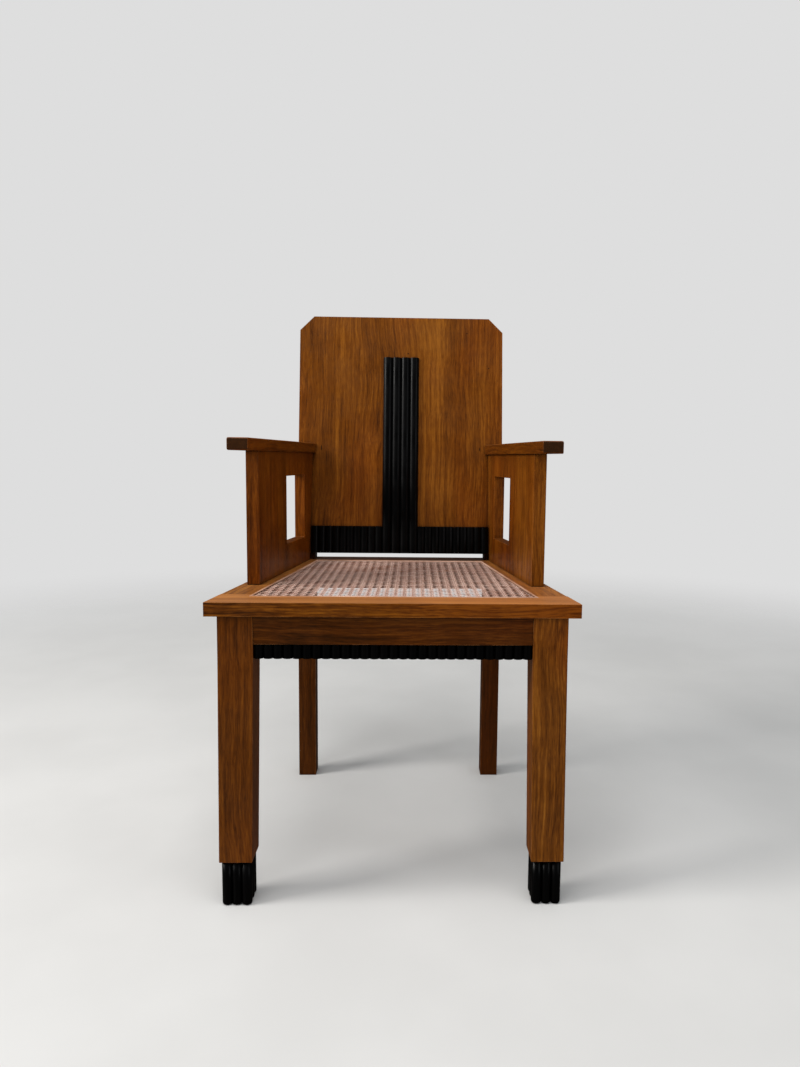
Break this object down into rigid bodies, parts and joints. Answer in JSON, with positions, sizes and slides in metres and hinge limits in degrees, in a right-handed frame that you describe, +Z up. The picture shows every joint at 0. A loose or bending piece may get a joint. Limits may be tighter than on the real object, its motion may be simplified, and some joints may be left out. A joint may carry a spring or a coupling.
{
  "type": "armchair",
  "caption": "Polished wood armchair with a caned seat, board arms with square windows, a leaning chamfered back board and ebonised reeded trim.",
  "frame": {"origin": "on the floor under the middle of the chair's bounding box", "axes": "+Z up, the front of the chair faces -Y, +X to the right seen from the front"},
  "size_m": [0.53, 0.5632, 0.935],
  "materials": {
    "polished_wood": "glossy french polish, golden brown with dark flecks",
    "ebonised": "black lacquered wood, semi-gloss",
    "cane": "woven natural cane, satin",
    "spline": "cane spline, satin",
    "tenon_beech": "raw wood",
    "screw_steel": "plain steel"
  },
  "bodies": {
    "root": {"apron_reeding": "ebonised", "arm_back_tenons": "tenon_beech", "arm_foot_tenons": "tenon_beech", "arm_panel_left": "polished_wood", "arm_panel_right": "polished_wood", "armrest_left": "polished_wood", "armrest_right": "polished_wood", "armrest_tenons": "tenon_beech", "back_band_left": "ebonised", "back_band_right": "ebonised", "back_centre_strip": "ebonised", "back_panel": "polished_wood", "back_screws": "screw_steel", "cane_panel": "cane", "cane_splines": "spline", "corner_block_front_left": "polished_wood", "corner_block_front_right": "polished_wood", "corner_block_rear_left": "polished_wood", "corner_block_rear_right": "polished_wood", "front_apron": "polished_wood", "front_foot_left": "ebonised", "front_foot_right": "ebonised", "front_leg_left": "polished_wood", "front_leg_right": "polished_wood", "rear_apron": "polished_wood", "rear_leg_left": "polished_wood", "rear_leg_right": "polished_wood", "seat_frame_tenons": "tenon_beech", "seat_front_rail": "polished_wood", "seat_rear_rail": "polished_wood", "seat_screws": "screw_steel", "seat_side_rail_left": "polished_wood", "seat_side_rail_right": "polished_wood", "side_apron_left": "polished_wood", "side_apron_right": "polished_wood", "side_apron_tenons": "tenon_beech"}
  },
  "joints": []
}
